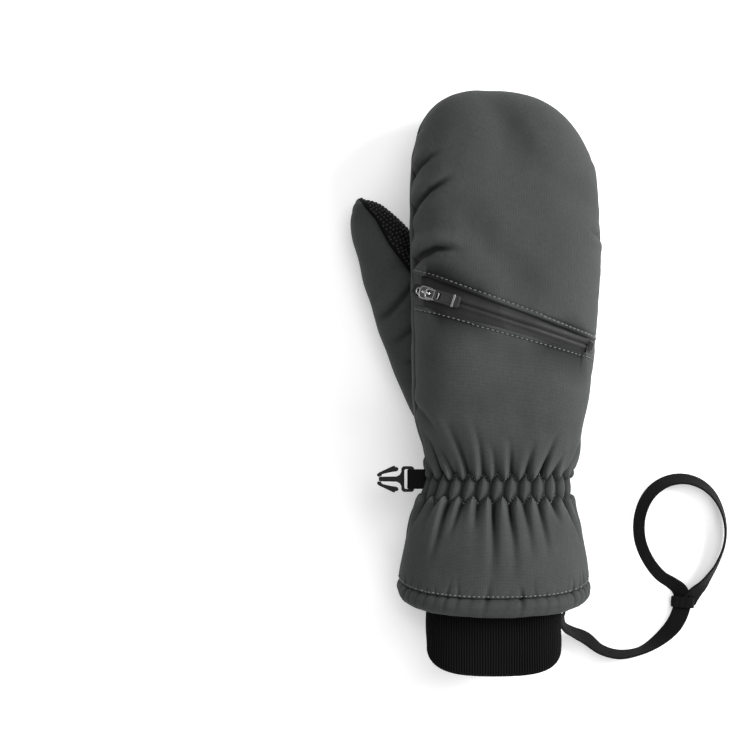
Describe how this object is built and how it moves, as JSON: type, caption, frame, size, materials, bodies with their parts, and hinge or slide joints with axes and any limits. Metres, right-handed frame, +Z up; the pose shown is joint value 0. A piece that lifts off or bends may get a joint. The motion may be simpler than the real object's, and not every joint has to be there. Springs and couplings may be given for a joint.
{
  "type": "ski mitten",
  "caption": "Insulated ski mitten with a separate thumb, zipped back pocket, gathered wrist, padded gauntlet hem, ribbed inner cuff, side clip and wrist leash.",
  "frame": {"origin": "on the flat of the palm, which the mitten lies on, under the middle of the palm", "axes": "+Z up from the palm to the back of the hand, +Y from the wrist to the finger tips, -X the thumb side, +X the little-finger side"},
  "size_m": [0.2077, 0.3077, 0.0646],
  "materials": {
    "shell_cloth": "woven nylon, water-repellent",
    "grip_cloth": "cloth with raised grip dots",
    "knit": "ribbed knit",
    "webbing": "woven",
    "zip_tape": "film coated, satin",
    "plastic": "moulded",
    "metal": "plated",
    "wadding": "loose fibre",
    "film": "thin film",
    "fleece": "brushed pile"
  },
  "bodies": {
    "hand": {"back_panel_upper": "shell_cloth", "back_panel_lower": "shell_cloth", "side_strip_thumb": "shell_cloth", "side_strip_little": "shell_cloth", "fingertip_grip_patch": "grip_cloth", "palm_mid_panel": "shell_cloth", "palm_grip_patch": "grip_cloth", "palm_heel_panel": "shell_cloth", "hem_roll": "shell_cloth", "knit_cuff": "knit", "wrist_elastic": "knit", "insulation_hand": "wadding", "membrane_insert": "film", "fleece_lining": "fleece", "zip_tape_upper": "zip_tape", "zip_tape_lower": "zip_tape", "zip_coil_upper": "plastic", "zip_coil_lower": "plastic", "zip_stop_start": "metal", "zip_stop_end": "metal", "pocket_bag": "fleece", "clip_webbing": "webbing", "leash_anchor": "webbing", "leash_strap": "webbing", "leash_eye": "webbing"},
    "thumb": {"thumb_back_panel": "shell_cloth", "thumb_grip_panel": "grip_cloth", "insulation_thumb": "wadding", "thumb_lining": "fleece"},
    "slider": {"zip_slider": "metal"},
    "pull": {"zip_pull_loop": "metal", "zip_pull_tab": "plastic", "zip_pull_clip": "metal"},
    "clip": {"clip_frame": "plastic"},
    "barb_upper": {"clip_barb_upper": "plastic"},
    "barb_lower": {"clip_barb_lower": "plastic"}
  },
  "joints": [
    {"name": "thumb_swing", "type": "hinge", "parent": "hand", "child": "thumb", "pos_m": [-0.049, -0.053, 0.014], "axis": [0, 0, 1], "range_deg": [-10, 20], "stiffness_Nm_per_rad": 0.05},
    {"name": "zip_travel", "type": "hinge", "parent": "hand", "child": "slider", "pos_m": [-0.01825, -0.00797, -0.0349], "axis": [0.3024, 0.9532, 0], "range_deg": [0, 52]},
    {"name": "zip_pull_swing", "type": "hinge", "parent": "slider", "child": "pull", "pos_m": [-0.05159, 0.00261, 0.05691], "axis": [-0.3024, -0.9532, 0], "range_deg": [0, 150]},
    {"name": "clip_swing", "type": "hinge", "parent": "hand", "child": "clip", "pos_m": [-0.0583, -0.0951, 0.027], "axis": [0, 1, 0], "range_deg": [-60, 60]},
    {"name": "barb_upper_flex", "type": "hinge", "parent": "clip", "child": "barb_upper", "pos_m": [-0.0756, -0.0929, 0.027], "axis": [0, 0, -1], "range_deg": [0, 8], "stiffness_Nm_per_rad": 0.01},
    {"name": "barb_lower_flex", "type": "hinge", "parent": "clip", "child": "barb_lower", "pos_m": [-0.0756, -0.0973, 0.027], "axis": [0, 0, 1], "range_deg": [0, 8], "stiffness_Nm_per_rad": 0.01}
  ]
}
